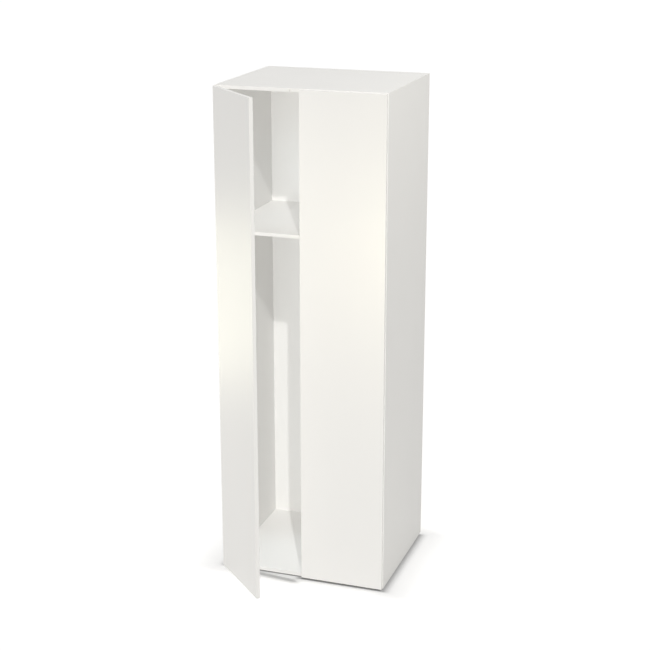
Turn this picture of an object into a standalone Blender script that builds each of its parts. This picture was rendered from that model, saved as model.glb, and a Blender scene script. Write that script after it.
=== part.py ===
# Two-door wardrobe: a carcass of white boards with a hat shelf and a clothes rail,
# full-overlay doors without handles on concealed cup hinges, push latches in the
# front edge of the top, and low glides under the bottom.
# Metres, +Z up, the doors face -Y. The left door stands ajar and the right one is shut.

import math

import bmesh
import bpy
from mathutils import Matrix, Vector

# Carcass boards
CARCASS_WIDTH = 0.800
CARCASS_DEPTH = 0.660
CARCASS_HEIGHT = 2.320
BOARD = 0.016
BOARD_EDGE = 0.0008
JOINT_GAP = 0.0003

# Back, held in a groove that runs round the inside of the carcass
BACK_BOARD = 0.004
BACK_INSET = 0.003
GROOVE_DEPTH = 0.006
GROOVE_PLAY = 0.0003

# Hat shelf on four plug-in supports
SHELF_HEIGHT = 1.651
SHELF_SETBACK = 0.011
SHELF_END_PLAY = 0.0005
SHELF_BACK_PLAY = 0.0005
SUPPORT_PIN = 0.0025
SUPPORT_PIN_LENGTH = 0.009
SUPPORT_BODY = 0.0055
SUPPORT_BODY_LENGTH = 0.010
SUPPORT_FROM_EDGE = 0.060

# Clothes rail, an oval tube in two open sockets
RAIL_HEIGHT = 0.030
RAIL_WIDTH = 0.015
RAIL_WALL = 0.0012
RAIL_DROP = 0.045
RAIL_FROM_FRONT = 0.315
RAIL_END_PLAY = 0.001
SOCKET_WALL = 0.0025
SOCKET_FLANGE = 0.0022
SOCKET_DEPTH = 0.012
SOCKET_LUG = 0.012
SOCKET_SCREW = 0.0022

# Doors
DOOR_BOARD = 0.018
DOOR_EDGE = 0.0010
DOOR_GAP = 0.002
DOOR_SIDE_REVEAL = 0.0015
DOOR_MIDDLE_GAP = 0.003
DOOR_TOP_REVEAL = 0.003
DOOR_BOTTOM_REVEAL = 0.004
DOOR_LIMIT = 95.0
LEFT_DOOR_REST = 44.65
RIGHT_DOOR_REST = 0.0

# Cup hinges, measured from the door's hinge edge and from its inner face
HINGE_COUNT = 4
HINGE_FROM_END = 0.100
HINGE_BELOW_SHELF = 0.138
PIVOT_FROM_EDGE = 0.0055
PIVOT_BELOW_FACE = 0.0100
CUP_RADIUS = 0.0175
CUP_FROM_EDGE = 0.0030
CUP_DEPTH = 0.0137
CUP_WALL = 0.0009
CUP_PROUD = 0.0006
CUP_NOTCH_DEPTH = 0.0020
WING_WIDTH = 0.022
WING_LENGTH = 0.064
WING_CORNER = 0.008
WING_BOARD = 0.0010
WING_SCREW_SPREAD = 0.052
WING_SCREW = 0.0020
CUP_PIN = 0.0009
CUP_PIN_FROM_EDGE = 0.0305
CUP_PIN_BELOW_FACE = 0.0070
ARM_PIN = 0.0007
ARM_PIN_FROM_EDGE = 0.0090
ARM_PIN_BELOW_FACE = 0.0113
ARM_EYE = 0.0014
ARM_NECK = 0.0018
ARM_BEND_FROM_EDGE = 0.0185
ARM_BEND_RADIUS = 0.0030
ARM_CHEEK = 0.0012
ARM_INNER_WIDTH = 0.0074
ARM_HEIGHT = 0.0116
ARM_FLARE = 0.012
ARM_SHOULDER = 0.010
ARM_LENGTH = 0.064
LINK_PLAY = 0.0003
LINK_WALL = 0.0008
LINK_PIN_PLAY = 0.00015
LINK_SLOT_PLAY = 0.00065
LINK_TRAVEL = 0.0029
LINK_LEAD = 0.75
LINK_RATIO = 1.13
PLATE_BOARD = 0.0018
PLATE_WIDTH = 0.026
PLATE_LENGTH = 0.050
PLATE_CORNER = 0.006
PLATE_FROM_FRONT = 0.037
PLATE_SCREW_SPREAD = 0.032
PLATE_SCREW = 0.0025
PLATE_RIB_LENGTH = 0.044

# Push latches in the front edge of the top, and the pads that they meet
LATCH_FROM_MIDDLE = 0.045
LATCH_RADIUS = 0.0050
LATCH_LENGTH = 0.048
LATCH_FLOOR = 0.004
PLUNGER_RADIUS = 0.0034
PLUNGER_PLAY = 0.0004
PLUNGER_LENGTH = 0.036
PLUNGER_ROUND = 0.0012
PLUNGER_TRAVEL = 0.014
PAD_RADIUS = 0.0042
PAD_BOARD = 0.0007

# Glides pressed into the bottom
FOOT_GAP = 0.010
FOOT_RADIUS = 0.022
FOOT_ROUND = 0.003
FOOT_STEM = 0.004
FOOT_STEM_LENGTH = 0.011
FOOT_INSET_SIDE = 0.035
FOOT_INSET_FRONT = 0.045
FOOT_INSET_REAR = 0.060

# Fineness of round work
CUP_SIDES = 28
PIN_SIDES = 10
TURNED_SIDES = 20

# Places that follow from the sizes, with y = 0 on the closed doors' inner face
HALF_WIDTH = CARCASS_WIDTH / 2
INNER_HALF = HALF_WIDTH - BOARD
FRONT = DOOR_GAP
REAR = FRONT + CARCASS_DEPTH
BOTTOM = FOOT_GAP
TOP = FOOT_GAP + CARCASS_HEIGHT
FLOOR_BOARD_TOP = BOTTOM + BOARD
LID_UNDERSIDE = TOP - BOARD
BACK_REAR = REAR - BACK_INSET
BACK_FRONT = BACK_REAR - BACK_BOARD
SHELF_UNDERSIDE = FLOOR_BOARD_TOP + SHELF_HEIGHT - BOARD
DOOR_HINGE_EDGE = HALF_WIDTH - DOOR_SIDE_REVEAL
DOOR_BOTTOM = BOTTOM + DOOR_BOTTOM_REVEAL
DOOR_TOP = TOP - DOOR_TOP_REVEAL
DOOR_WIDTH = DOOR_HINGE_EDGE - DOOR_MIDDLE_GAP / 2
SIDE_FACE = BOARD - DOOR_SIDE_REVEAL


def empty_scene():
    for obj in list(bpy.data.objects):
        bpy.data.objects.remove(obj, do_unlink=True)
    for mesh in list(bpy.data.meshes):
        bpy.data.meshes.remove(mesh)


def new_collection(name):
    collection = bpy.data.collections.new(name)
    bpy.context.scene.collection.children.link(collection)
    return collection


def new_material(name, colour, roughness, metallic):
    material = bpy.data.materials.new(name)
    material.use_nodes = True
    shader = material.node_tree.nodes["Principled BSDF"]
    shader.inputs["Base Color"].default_value = (*colour, 1.0)
    shader.inputs["Roughness"].default_value = roughness
    shader.inputs["Metallic"].default_value = metallic
    material.diffuse_color = (*colour, 1.0)
    return material


def add_object(name, data):
    obj = bpy.data.objects.new(name, data)
    bpy.context.scene.collection.objects.link(obj)
    return obj


def add_box(name, low, high):
    bpy.ops.mesh.primitive_cube_add(size=1.0)
    obj = bpy.context.active_object
    obj.name = name
    size = Vector(high) - Vector(low)
    middle = (Vector(high) + Vector(low)) / 2
    obj.data.transform(Matrix.Translation(middle) @ Matrix.Diagonal((*size, 1.0)))
    return obj


def add_rod(name, radius, start, end, sides):
    start = Vector(start)
    end = Vector(end)
    along = end - start
    bpy.ops.mesh.primitive_cylinder_add(vertices=sides, radius=radius, depth=along.length)
    obj = bpy.context.active_object
    obj.name = name
    turn = Vector((0, 0, 1)).rotation_difference(along).to_matrix().to_4x4()
    obj.data.transform(Matrix.Translation((start + end) / 2) @ turn)
    obj.data.shade_smooth()
    obj.data.set_sharp_from_angle(angle=math.radians(30))
    return obj


def add_outline(name, loops, start, end, axis):
    # A flat outline, with any holes as further loops, made thick along one axis.
    # Along X a loop holds (y, z) pairs, along Y (z, x) and along Z (x, y).
    curve = bpy.data.curves.new(name, "CURVE")
    curve.dimensions = "2D"
    curve.fill_mode = "BOTH"
    curve.extrude = (end - start) / 2
    for loop in loops:
        spline = curve.splines.new("POLY")
        spline.points.add(len(loop) - 1)
        for point, (a, b) in zip(spline.points, loop):
            point.co = (a, b, 0.0, 1.0)
        spline.use_cyclic_u = True
    drawn = add_object(name + "_outline", curve)
    bpy.context.view_layer.update()
    graph = bpy.context.evaluated_depsgraph_get()
    mesh = bpy.data.meshes.new_from_object(drawn.evaluated_get(graph), depsgraph=graph)
    bpy.data.objects.remove(drawn, do_unlink=True)
    turns = {"X": ((0, 0, 1), (1, 0, 0), (0, 1, 0)), "Y": ((0, 1, 0), (0, 0, 1), (1, 0, 0)),
             "Z": ((1, 0, 0), (0, 1, 0), (0, 0, 1))}
    mesh.transform(Matrix(turns[axis]).to_4x4())
    middle = {"X": Vector((1, 0, 0)), "Y": Vector((0, 1, 0)), "Z": Vector((0, 0, 1))}[axis]
    mesh.transform(Matrix.Translation(middle * (start + end) / 2))
    work = bmesh.new()
    work.from_mesh(mesh)
    bmesh.ops.remove_doubles(work, verts=work.verts, dist=0.000001)
    bmesh.ops.recalc_face_normals(work, faces=work.faces)
    work.to_mesh(mesh)
    work.free()
    return add_object(name, mesh)


def add_turned(name, profile, sides):
    # A profile of (radius, height) pairs, from the top of the axis down its outer side.
    mesh = bpy.data.meshes.new(name)
    work = bmesh.new()
    points = [work.verts.new((radius, 0.0, height)) for radius, height in profile]
    for first, second in zip(points[:-1], points[1:]):
        work.edges.new((first, second))
    work.to_mesh(mesh)
    work.free()
    obj = add_object(name, mesh)
    screw = obj.modifiers.new("turn", "SCREW")
    screw.axis = "Z"
    screw.angle = 2 * math.pi
    screw.steps = sides
    screw.render_steps = sides
    screw.use_merge_vertices = True
    screw.merge_threshold = 0.000005
    screw.use_smooth_shade = True
    return obj


def round_edges(obj, width, segments=2):
    bevel = obj.modifiers.new("edges", "BEVEL")
    bevel.width = width
    bevel.segments = segments
    bevel.limit_method = "ANGLE"
    bevel.angle_limit = math.radians(40)


def use_tool(target, tool, operation):
    # The tool moves with the piece that it shapes.
    tool.parent = target
    tool.hide_render = True
    tool.display_type = "WIRE"
    for collection in list(tool.users_collection):
        collection.objects.unlink(tool)
    cutters.objects.link(tool)
    boolean = target.modifiers.new(operation.lower(), "BOOLEAN")
    boolean.operation = operation
    boolean.solver = "EXACT"
    boolean.object = tool


def carve(target, tool):
    use_tool(target, tool, "DIFFERENCE")


def fuse(target, tool):
    use_tool(target, tool, "UNION")


def gather(name, tools):
    # Several tools as one, so that a piece is cut in a single step.
    work = bmesh.new()
    for tool in tools:
        work.from_mesh(tool.data)
        bpy.data.objects.remove(tool, do_unlink=True)
    mesh = bpy.data.meshes.new(name)
    work.to_mesh(mesh)
    work.free()
    return add_object(name, mesh)


def finished_mesh(obj):
    # The piece as its modifiers leave it, for copies that share one mesh.
    bpy.context.view_layer.update()
    graph = bpy.context.evaluated_depsgraph_get()
    mesh = bpy.data.meshes.new_from_object(obj.evaluated_get(graph), depsgraph=graph)
    mesh.name = obj.name
    mesh.shade_smooth()
    mesh.set_sharp_from_angle(angle=math.radians(30))
    for tool in [child for child in obj.children]:
        bpy.data.objects.remove(tool, do_unlink=True)
    bpy.data.objects.remove(obj, do_unlink=True)
    return mesh


def arc(centre, radius, first, last, steps):
    points = []
    for step in range(steps + 1):
        angle = math.radians(first + (last - first) * step / steps)
        points.append((centre[0] + radius * math.cos(angle), centre[1] + radius * math.sin(angle)))
    return points


def circle(centre, radius, sides):
    return arc(centre, radius, 0.0, 360.0 - 360.0 / sides, sides - 1)


def slot(start, end, radius, steps):
    # A slot along the first axis, with round ends.
    return arc((end, 0.0), radius, -90, 90, steps) + arc((start, 0.0), radius, 90, 270, steps)


def rounded(width, height, radius, steps):
    across = width / 2 - radius
    up = height / 2 - radius
    loop = arc((across, up), radius, 0, 90, steps)
    loop += arc((-across, up), radius, 90, 180, steps)
    loop += arc((-across, -up), radius, 180, 270, steps)
    loop += arc((across, -up), radius, 270, 360, steps)
    return loop


def oval(width, height, steps):
    # Upright oval of straight flanks and half-round ends.
    reach = (height - width) / 2
    return arc((0.0, reach), width / 2, 0, 180, steps) + arc((0.0, -reach), width / 2, 180, 360, steps)


def shifted(loop, across, up):
    return [(a + across, b + up) for a, b in loop]


def piece(obj, name, material, parent, location=(0.0, 0.0, 0.0), rotation=(0.0, 0.0, 0.0)):
    obj.name = name
    obj.parent = parent
    obj.location = location
    obj.rotation_euler = rotation
    obj.data.materials.clear()
    obj.data.materials.append(material)
    for collection in list(obj.users_collection):
        collection.objects.unlink(obj)
    wardrobe.objects.link(obj)
    return obj


def add_empty(name, parent, location, turn=0.0):
    empty = add_object(name, None)
    empty.empty_display_size = 0.05
    empty.parent = parent
    empty.location = location
    empty.rotation_euler = (0.0, 0.0, turn)
    return empty


# Carcass

def add_groove(panel, low, high):
    carve(panel, add_box(panel.name + "_groove", low, high))


def side_panel(name, hand):
    outer = hand * HALF_WIDTH
    inner = hand * INNER_HALF
    panel = add_box(name, (min(outer, inner), FRONT, BOTTOM), (max(outer, inner), REAR, TOP))
    round_edges(panel, BOARD_EDGE)
    depth = hand * GROOVE_DEPTH
    mouth = inner - depth
    deep = inner + depth
    add_groove(panel, (min(mouth, deep), BACK_FRONT - GROOVE_PLAY, FLOOR_BOARD_TOP - GROOVE_DEPTH),
               (max(mouth, deep), BACK_REAR + GROOVE_PLAY, LID_UNDERSIDE + GROOVE_DEPTH))
    for place in support_places():
        start = inner - hand * SUPPORT_PIN_LENGTH
        end = inner + hand * (SUPPORT_PIN_LENGTH + JOINT_GAP)
        height = support_axis()
        carve(panel, add_rod(name + "_support_hole", SUPPORT_PIN + JOINT_GAP,
                             (start, place, height), (end, place, height), PIN_SIDES))
    return piece(panel, name, melamine, root)


def support_places():
    shelf_front = FRONT + SHELF_SETBACK
    shelf_rear = BACK_FRONT - SHELF_BACK_PLAY
    return shelf_front + SUPPORT_FROM_EDGE, shelf_rear - SUPPORT_FROM_EDGE


def support_axis():
    return SHELF_UNDERSIDE - JOINT_GAP - SUPPORT_PIN


def cross_panel(name, low, high, groove_low, groove_high):
    reach = INNER_HALF - JOINT_GAP
    panel = add_box(name, (-reach, FRONT, low), (reach, REAR, high))
    round_edges(panel, BOARD_EDGE)
    add_groove(panel, (-HALF_WIDTH, BACK_FRONT - GROOVE_PLAY, groove_low),
               (HALF_WIDTH, BACK_REAR + GROOVE_PLAY, groove_high))
    return piece(panel, name, melamine, root)


def build_carcass():
    side_panel("left_side_panel", -1)
    side_panel("right_side_panel", 1)
    lid = cross_panel("top_panel", LID_UNDERSIDE, TOP,
                      LID_UNDERSIDE - GROOVE_DEPTH, LID_UNDERSIDE + GROOVE_DEPTH)
    for hand in (-1, 1):
        across = hand * LATCH_FROM_MIDDLE
        carve(lid, add_rod("latch_bore", LATCH_RADIUS + JOINT_GAP, (across, FRONT - DOOR_GAP, latch_axis()),
                           (across, FRONT + LATCH_LENGTH + JOINT_GAP, latch_axis()), TURNED_SIDES))
    floor = cross_panel("bottom_panel", BOTTOM, FLOOR_BOARD_TOP,
                        FLOOR_BOARD_TOP - GROOVE_DEPTH, FLOOR_BOARD_TOP + GROOVE_DEPTH)
    for across, along in foot_places().values():
        top = BOTTOM + FOOT_STEM_LENGTH
        carve(floor, add_rod("foot_hole", FOOT_STEM + JOINT_GAP, (across, along, 0.0),
                             (across, along, top), PIN_SIDES))
    side = INNER_HALF + GROOVE_DEPTH - GROOVE_PLAY
    back = add_box("back_panel", (-side, BACK_FRONT, FLOOR_BOARD_TOP - GROOVE_DEPTH + GROOVE_PLAY),
                   (side, BACK_REAR, LID_UNDERSIDE + GROOVE_DEPTH - GROOVE_PLAY))
    piece(back, "back_panel", back_white, root)
    half = INNER_HALF - SHELF_END_PLAY
    shelf = add_box("hat_shelf", (-half, FRONT + SHELF_SETBACK, SHELF_UNDERSIDE),
                    (half, BACK_FRONT - SHELF_BACK_PLAY, SHELF_UNDERSIDE + BOARD))
    round_edges(shelf, BOARD_EDGE)
    piece(shelf, "hat_shelf", melamine, root)


# Shelf supports: a peg in the side and a body with a flat top under the shelf

def build_supports():
    body = add_rod("shelf_support", SUPPORT_BODY, (JOINT_GAP, 0.0, 0.0),
                   (SUPPORT_BODY_LENGTH, 0.0, 0.0), TURNED_SIDES)
    carve(body, add_box("support_flat", (-SUPPORT_BODY, -2 * SUPPORT_BODY, SUPPORT_PIN),
                        (2 * SUPPORT_BODY_LENGTH, 2 * SUPPORT_BODY, 2 * SUPPORT_BODY)))
    fuse(body, add_rod("support_peg", SUPPORT_PIN, (-SUPPORT_PIN_LENGTH, 0.0, 0.0),
                       (SUPPORT_BODY_LENGTH / 2, 0.0, 0.0), PIN_SIDES))
    mesh = finished_mesh(body)
    front, rear = support_places()
    for side, hand in (("left", -1), ("right", 1)):
        for end, along in (("front", front), ("rear", rear)):
            turn = 0.0 if hand < 0 else math.pi
            piece(add_object("support", mesh), f"shelf_support_{side}_{end}", zinc, root,
                  (hand * INNER_HALF, along, support_axis()), (0.0, 0.0, turn))


# Clothes rail and its sockets

def build_rail():
    axis = SHELF_UNDERSIDE - RAIL_DROP
    along = FRONT + RAIL_FROM_FRONT
    half = INNER_HALF - JOINT_GAP - SOCKET_FLANGE - RAIL_END_PLAY
    loops = [oval(RAIL_WIDTH, RAIL_HEIGHT, 8),
             oval(RAIL_WIDTH - 2 * RAIL_WALL, RAIL_HEIGHT - 2 * RAIL_WALL, 8)]
    rail = add_outline("clothes_rail", loops, -half, half, "X")
    rail.data.shade_smooth()
    rail.data.set_sharp_from_angle(angle=math.radians(30))
    piece(rail, "clothes_rail", chrome, root, (0.0, along, axis))

    # The cradle is open at the top, so the rail drops in from above.
    inner = RAIL_WIDTH / 2 + JOINT_GAP
    outer = inner + SOCKET_WALL
    low = -(RAIL_HEIGHT - RAIL_WIDTH) / 2
    high = RAIL_HEIGHT / 2
    cradle_loop = arc((0.0, low), outer, 180, 360, 10) + [(outer, high), (inner, high)]
    cradle_loop += arc((0.0, low), inner, 360, 180, 10) + [(-inner, high), (-outer, high)]
    lug = RAIL_HEIGHT / 2 + SOCKET_LUG
    plate_loop = oval(2 * outer, 2 * lug, 8)
    holes = [circle((0.0, side * (lug - SOCKET_LUG / 2)), SOCKET_SCREW, 10) for side in (-1, 1)]
    flange = add_outline("rail_socket", [plate_loop] + holes, JOINT_GAP, JOINT_GAP + SOCKET_FLANGE, "X")
    cradle = add_outline("socket_cradle", [cradle_loop], JOINT_GAP + SOCKET_FLANGE / 2, SOCKET_DEPTH, "X")
    fuse(flange, cradle)
    mesh = finished_mesh(flange)
    for side, hand in (("left", -1), ("right", 1)):
        turn = 0.0 if hand < 0 else math.pi
        piece(add_object("socket", mesh), f"{side}_rail_socket", zinc, root,
              (hand * INNER_HALF, along, axis), (0.0, 0.0, turn))


# Hinge pieces, drawn from the door's hinge edge inward (x) and from its inner face
# backward (y). Each is alike above and below its middle, so a half turn about y
# makes the other hand.

def cup_mesh():
    middle = CUP_FROM_EDGE + CUP_RADIUS
    cup = add_rod("hinge_cup", CUP_RADIUS, (middle, -CUP_DEPTH, 0.0), (middle, CUP_PROUD, 0.0), CUP_SIDES)
    wing = shifted(rounded(WING_LENGTH, WING_WIDTH, WING_CORNER, 4), 0.0, middle)
    holes = [shifted(circle((0.0, 0.0), WING_SCREW, 10), side * WING_SCREW_SPREAD / 2, middle)
             for side in (-1, 1)]
    fuse(cup, add_outline("cup_wing", [wing] + holes, JOINT_GAP, JOINT_GAP + WING_BOARD, "Y"))
    bore = CUP_RADIUS - CUP_WALL
    carve(cup, add_rod("cup_bore", bore, (middle, -CUP_DEPTH + CUP_WALL, 0.0),
                       (middle, CUP_DEPTH, 0.0), CUP_SIDES))
    clear = ARM_INNER_WIDTH / 2 + ARM_CHEEK + 2 * JOINT_GAP
    carve(cup, add_box("cup_notch", (CUP_FROM_EDGE - CUP_WALL, -CUP_NOTCH_DEPTH, -clear),
                       (middle, CUP_DEPTH, clear)))
    offset = CUP_PIN_FROM_EDGE - middle
    half = (math.sqrt(bore ** 2 - offset ** 2) + math.sqrt(CUP_RADIUS ** 2 - offset ** 2)) / 2
    fuse(cup, add_rod("cup_pin", CUP_PIN, (CUP_PIN_FROM_EDGE, -CUP_PIN_BELOW_FACE, -half),
                      (CUP_PIN_FROM_EDGE, -CUP_PIN_BELOW_FACE, half), PIN_SIDES))
    return finished_mesh(cup)


def link_reach():
    return math.hypot(CUP_PIN_FROM_EDGE - ARM_PIN_FROM_EDGE, ARM_PIN_BELOW_FACE - CUP_PIN_BELOW_FACE)


def link_mesh():
    # The arm's pin turns in the eye; the cup's pin runs along the slot as the door swings.
    half = ARM_INNER_WIDTH / 2 - LINK_PLAY
    slot_radius = CUP_PIN + LINK_SLOT_PLAY
    tip = slot_radius + LINK_WALL
    near = link_reach() - LINK_PIN_PLAY
    far = link_reach() + LINK_TRAVEL
    outline = arc((0.0, 0.0), ARM_EYE, 100, 260, 8) + arc((near, 0.0), tip, 250, 270, 2)
    outline += arc((far, 0.0), tip, -90, 90, 8) + arc((near, 0.0), tip, 90, 110, 2)
    loops = [outline, circle((0.0, 0.0), ARM_PIN + LINK_PIN_PLAY, PIN_SIDES), slot(near, far, slot_radius, 6)]
    return finished_mesh(add_outline("hinge_link", loops, -half, half, "Z"))


def arm_outline():
    # A slim neck reaches from its eye in the cup, bends back past the side's front
    # edge and flares into the channel that straddles the plate.
    eye = (ARM_PIN_FROM_EDGE, -ARM_PIN_BELOW_FACE)
    neck = ARM_NECK / 2
    base = SIDE_FACE + JOINT_GAP + PLATE_BOARD + JOINT_GAP
    crest = base + ARM_HEIGHT
    bend = (ARM_BEND_FROM_EDGE - ARM_BEND_RADIUS, eye[1] + ARM_BEND_RADIUS)
    start = FRONT + ARM_SHOULDER
    rise = math.degrees(math.asin(neck / ARM_EYE))
    loop = arc(eye, ARM_EYE, rise, 360 - rise, 10)
    loop += arc(bend, ARM_BEND_RADIUS + neck, -90, 0, 5)
    loop += [(ARM_BEND_FROM_EDGE + neck, FRONT), (crest, start + ARM_FLARE), (crest, start + ARM_LENGTH)]
    loop += [(base, start + ARM_LENGTH), (base, start)]
    loop += [(ARM_BEND_FROM_EDGE - neck, FRONT)]
    loop += arc(bend, ARM_BEND_RADIUS - neck, 0, -90, 4)
    return loop, base, crest, start


def arm_mesh():
    loop, base, crest, start = arm_outline()
    inner = ARM_INNER_WIDTH / 2
    outer = inner + ARM_CHEEK
    arm = add_outline("hinge_arm", [loop], inner, outer, "Z")
    fuse(arm, add_outline("arm_cheek", [loop], -outer, -inner, "Z"))
    fuse(arm, add_box("arm_web", (crest - ARM_CHEEK, start + ARM_FLARE, -outer + ARM_CHEEK / 4),
                      (crest, start + ARM_LENGTH, outer - ARM_CHEEK / 4)))
    pin_end = inner + ARM_CHEEK / 2
    fuse(arm, add_rod("arm_pin", ARM_PIN, (ARM_PIN_FROM_EDGE, -ARM_PIN_BELOW_FACE, -pin_end),
                      (ARM_PIN_FROM_EDGE, -ARM_PIN_BELOW_FACE, pin_end), PIN_SIDES))
    return finished_mesh(arm)


def plate_mesh():
    # A flat plate on the side with a rib that fills the arm's channel.
    loop, base, crest, start = arm_outline()
    face = SIDE_FACE + JOINT_GAP
    middle = FRONT + PLATE_FROM_FRONT
    holes = [circle((middle, side * PLATE_SCREW_SPREAD / 2), PLATE_SCREW, 10) for side in (-1, 1)]
    outline = shifted(rounded(PLATE_WIDTH, PLATE_LENGTH, PLATE_CORNER, 3), middle, 0.0)
    plate = add_outline("hinge_plate", [outline] + holes, face, face + PLATE_BOARD, "X")
    half = ARM_INNER_WIDTH / 2 - JOINT_GAP
    low = middle - PLATE_RIB_LENGTH / 2
    fuse(plate, add_box("plate_rib", (face + PLATE_BOARD / 2, low, -half),
                        (crest - ARM_CHEEK - JOINT_GAP, low + PLATE_RIB_LENGTH, half)))
    return finished_mesh(plate)


def hinge_heights():
    # The top hinge keeps to the door's end; the others are spread evenly from the
    # door's foot up to the one that sits under the shelf.
    lowest = DOOR_BOTTOM + HINGE_FROM_END
    under_shelf = SHELF_UNDERSIDE - HINGE_BELOW_SHELF
    spaces = HINGE_COUNT - 2
    spread = [lowest + (under_shelf - lowest) * step / spaces for step in range(spaces + 1)]
    return spread + [DOOR_TOP - HINGE_FROM_END]


def build_doors():
    cup = cup_mesh()
    link = link_mesh()
    arm = arm_mesh()
    plate = plate_mesh()
    straight = math.atan2(ARM_PIN_BELOW_FACE - CUP_PIN_BELOW_FACE, CUP_PIN_FROM_EDGE - ARM_PIN_FROM_EDGE)
    closed = straight - math.radians(LINK_LEAD)
    for side, hand, ajar in (("left", -1, LEFT_DOOR_REST), ("right", 1, RIGHT_DOOR_REST)):
        edge = hand * DOOR_HINGE_EDGE
        swing = hand * math.radians(ajar)
        flip = 0.0 if hand < 0 else math.pi
        pivot_x = edge - hand * PIVOT_FROM_EDGE
        pivot = add_empty(f"{side}_door_pivot", root, (pivot_x, -PIVOT_BELOW_FACE, 0.0), swing)

        # The door and its cups are drawn from the pivot.
        hinge_x = hand * PIVOT_FROM_EDGE
        free_x = hinge_x - hand * DOOR_WIDTH
        face = PIVOT_BELOW_FACE
        door = add_box(f"{side}_door", (min(hinge_x, free_x), face - DOOR_BOARD, DOOR_BOTTOM),
                       (max(hinge_x, free_x), face, DOOR_TOP))
        round_edges(door, DOOR_EDGE)
        cup_x = hinge_x - hand * (CUP_FROM_EDGE + CUP_RADIUS)
        carve(door, gather("cup_pockets", [add_rod("cup_pocket", CUP_RADIUS + JOINT_GAP,
                                                   (cup_x, face - CUP_DEPTH - JOINT_GAP, height),
                                                   (cup_x, face + CUP_DEPTH, height), CUP_SIDES)
                                           for height in hinge_heights()]))
        piece(door, f"{side}_door", lacquer, pivot)

        pad_x = hand * (LATCH_FROM_MIDDLE - DOOR_HINGE_EDGE + PIVOT_FROM_EDGE)
        pad = add_rod(f"{side}_strike_pad", PAD_RADIUS, (pad_x, face + JOINT_GAP, latch_axis()),
                      (pad_x, face + JOINT_GAP + PAD_BOARD, latch_axis()), TURNED_SIDES)
        piece(pad, f"{side}_strike_pad", zinc, pivot)

        arm_pin_x = edge - hand * ARM_PIN_FROM_EDGE
        eye = add_empty(f"{side}_link_pivot", root, (arm_pin_x, -ARM_PIN_BELOW_FACE, 0.0), swing * LINK_RATIO)
        for number, height in enumerate(hinge_heights(), start=1):
            piece(add_object("cup", cup), f"{side}_hinge_cup_{number}", nickel, pivot,
                  (hinge_x, face, height), (0.0, flip, 0.0))
            piece(add_object("link", link), f"{side}_hinge_link_{number}", nickel, eye,
                  (0.0, 0.0, height), (0.0, flip, -hand * closed))
            piece(add_object("arm", arm), f"{side}_hinge_arm_{number}", nickel, root,
                  (edge, 0.0, height), (0.0, flip, 0.0))
            piece(add_object("plate", plate), f"{side}_hinge_plate_{number}", nickel, root,
                  (edge, 0.0, height), (0.0, flip, 0.0))


# Push latches

def latch_axis():
    return TOP - BOARD / 2


def build_latches():
    bore = PLUNGER_RADIUS + PLUNGER_PLAY
    shell = [(0.0, -LATCH_LENGTH + LATCH_FLOOR), (bore, -LATCH_LENGTH + LATCH_FLOOR), (bore, 0.0),
             (LATCH_RADIUS - BOARD_EDGE, 0.0), (LATCH_RADIUS, -BOARD_EDGE),
             (LATCH_RADIUS, -LATCH_LENGTH), (0.0, -LATCH_LENGTH)]
    housing_mesh = finished_mesh(add_turned("latch_housing", shell, TURNED_SIDES))
    tip = arc((PLUNGER_RADIUS - PLUNGER_ROUND, -PLUNGER_ROUND), PLUNGER_ROUND, 90, 0, 3)
    shaft = [(0.0, 0.0)] + tip + [(PLUNGER_RADIUS, -PLUNGER_LENGTH), (0.0, -PLUNGER_LENGTH)]
    plunger_mesh = finished_mesh(add_turned("latch_plunger", shaft, TURNED_SIDES))
    forward = (math.pi / 2, 0.0, 0.0)
    for side, hand, ajar in (("left", -1, LEFT_DOOR_REST), ("right", 1, RIGHT_DOOR_REST)):
        across = hand * LATCH_FROM_MIDDLE
        piece(add_object("housing", housing_mesh), f"{side}_latch_housing", white_plastic, root,
              (across, FRONT, latch_axis()), forward)
        shut = JOINT_GAP + PAD_BOARD + JOINT_GAP
        out = PLUNGER_TRAVEL * ajar / DOOR_LIMIT
        piece(add_object("plunger", plunger_mesh), f"{side}_latch_plunger", white_plastic, root,
              (across, shut - out, latch_axis()), forward)


# Glides

def foot_places():
    across = HALF_WIDTH - FOOT_INSET_SIDE - FOOT_RADIUS
    front = FRONT + FOOT_INSET_FRONT
    rear = REAR - FOOT_INSET_REAR
    return {"front_left": (-across, front), "front_right": (across, front),
            "rear_left": (-across, rear), "rear_right": (across, rear)}


def build_feet():
    shoulder = FOOT_GAP - JOINT_GAP
    stem = BOTTOM + FOOT_STEM_LENGTH - JOINT_GAP
    profile = [(0.0, stem), (FOOT_STEM, stem), (FOOT_STEM, shoulder), (FOOT_RADIUS, shoulder)]
    profile += arc((FOOT_RADIUS - FOOT_ROUND, FOOT_ROUND), FOOT_ROUND, 0, -90, 3)
    profile += [(0.0, 0.0)]
    mesh = finished_mesh(add_turned("foot", profile, TURNED_SIDES))
    for name, (across, along) in foot_places().items():
        piece(add_object("foot", mesh), f"foot_{name}", dark_plastic, root, (across, along, 0.0))


def settle_origin():
    # The origin lies on the floor, under the middle of the whole outline.
    bpy.context.view_layer.update()
    graph = bpy.context.evaluated_depsgraph_get()
    low = Vector((math.inf, math.inf, math.inf))
    high = -low
    for obj in wardrobe.objects:
        if obj.type != "MESH":
            continue
        shape = obj.evaluated_get(graph)
        for vertex in shape.data.vertices:
            place = shape.matrix_world @ vertex.co
            low = Vector(map(min, low, place))
            high = Vector(map(max, high, place))
    root.location = (-(low.x + high.x) / 2, -(low.y + high.y) / 2, -low.z)
    bpy.context.view_layer.update()


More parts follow.
